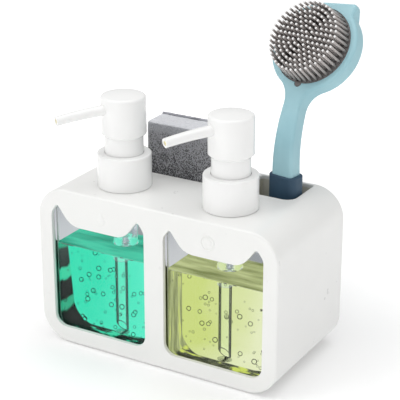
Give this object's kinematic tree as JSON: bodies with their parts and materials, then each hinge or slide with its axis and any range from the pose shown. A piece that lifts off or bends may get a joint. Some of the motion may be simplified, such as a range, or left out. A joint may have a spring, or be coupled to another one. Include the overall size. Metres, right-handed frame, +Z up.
{
  "type": "soap pump caddy",
  "caption": "White countertop caddy with windowed soap bottles under lotion pumps, and a slot and a well behind them that hold a sponge and a dish brush.",
  "frame": {"origin": "on the table under the middle of the housing, on the underside of the non-slip pad", "axes": "+Z up, +X to the right seen from the windows, +Y from the windows towards the sponge and the brush"},
  "size_m": [0.1835, 0.1364, 0.2335],
  "materials": {
    "housing_white": "satin moulded white plastic",
    "insert_white": "fine satin white plastic",
    "pump_white": "smooth glossy white plastic",
    "clear_bottle": "clear moulded plastic",
    "teal_soap": "clear green liquid with bubbles",
    "lime_soap": "clear yellow-green liquid with bubbles",
    "pump_clear": "translucent pump plastic",
    "valve_white": "plain white plastic",
    "steel": "bright steel",
    "pad_rubber": "soft grey rubber",
    "sponge_foam": "open cell grey foam",
    "sponge_scourer": "matted dark scouring fibre",
    "brush_blue": "satin pale blue plastic",
    "brush_navy": "matte navy soft grip",
    "bristle_grey": "warm grey silicone"
  },
  "bodies": {
    "caddy": {"housing": "housing_white", "rear_insert": "insert_white", "rear_screws": "steel", "base_pad": "pad_rubber", "left_bottle": "clear_bottle", "right_bottle": "clear_bottle", "left_soap": "teal_soap", "right_soap": "lime_soap"},
    "left_pump": {"left_chamber": "pump_clear", "left_dip_tube": "pump_clear", "left_gasket": "pad_rubber", "left_sleeve": "pump_white", "left_spring": "steel"},
    "left_collar": {"left_collar": "pump_white"},
    "left_plunger": {"left_piston": "valve_white"},
    "left_head": {"left_head": "pump_white", "left_stem": "valve_white"},
    "left_ball": {"left_ball": "steel"},
    "right_pump": {"right_chamber": "pump_clear", "right_dip_tube": "pump_clear", "right_gasket": "pad_rubber", "right_sleeve": "pump_white", "right_spring": "steel"},
    "right_collar": {"right_collar": "pump_white"},
    "right_plunger": {"right_piston": "valve_white"},
    "right_head": {"right_head": "pump_white", "right_stem": "valve_white"},
    "right_ball": {"right_ball": "steel"},
    "sponge": {"sponge_foam": "sponge_foam", "sponge_scourer": "sponge_scourer"},
    "brush": {"brush_handle": "brush_blue", "brush_bristles": "bristle_grey", "brush_grip": "brush_navy"}
  },
  "joints": [
    {"name": "left_collar_turn", "type": "hinge", "parent": "left_pump", "child": "left_collar", "pos_m": [-0.04, -0.01735, 0.12], "axis": [0, 0, 1], "range_deg": [0, 720]},
    {"name": "left_pump_lift", "type": "slide", "parent": "caddy", "child": "left_pump", "axis": [0, 0, 1], "range_m": [0, 0.006]},
    {"name": "left_press", "type": "slide", "parent": "left_pump", "child": "left_plunger", "axis": [0, 0, -1], "range_m": [0, 0.011], "stiffness_N_per_m": 350, "springref_m": -0.012, "deforming": ["left_spring"]},
    {"name": "left_head_turn", "type": "hinge", "parent": "left_plunger", "child": "left_head", "pos_m": [-0.04, -0.01735, 0.15], "axis": [0, 0, 1], "range_deg": [-110, 50]},
    {"name": "left_ball_lift", "type": "slide", "parent": "left_pump", "child": "left_ball", "axis": [0, 0, 1], "range_m": [0, 0.0015]},
    {"name": "right_collar_turn", "type": "hinge", "parent": "right_pump", "child": "right_collar", "pos_m": [0.04, -0.01735, 0.12], "axis": [0, 0, 1], "range_deg": [0, 720]},
    {"name": "right_pump_lift", "type": "slide", "parent": "caddy", "child": "right_pump", "axis": [0, 0, 1], "range_m": [0, 0.006]},
    {"name": "right_press", "type": "slide", "parent": "right_pump", "child": "right_plunger", "axis": [0, 0, -1], "range_m": [0, 0.011], "stiffness_N_per_m": 350, "springref_m": -0.012, "deforming": ["right_spring"]},
    {"name": "right_head_turn", "type": "hinge", "parent": "right_plunger", "child": "right_head", "pos_m": [0.04, -0.01735, 0.15], "axis": [0, 0, 1], "range_deg": [-35, 110]},
    {"name": "right_ball_lift", "type": "slide", "parent": "right_pump", "child": "right_ball", "axis": [0, 0, 1], "range_m": [0, 0.0015]},
    {"name": "sponge_lift", "type": "slide", "parent": "caddy", "child": "sponge", "axis": [0, 0, 1], "range_m": [0, 0.085]},
    {"name": "brush_lift", "type": "slide", "parent": "caddy", "child": "brush", "axis": [0, 0, 1], "range_m": [0, 0.105]}
  ],
  "couplings": [
    {"joint": "left_pump_lift", "follows": "left_collar_turn", "m_per_rad": 0.000477},
    {"joint": "right_pump_lift", "follows": "right_collar_turn", "m_per_rad": 0.000477}
  ]
}
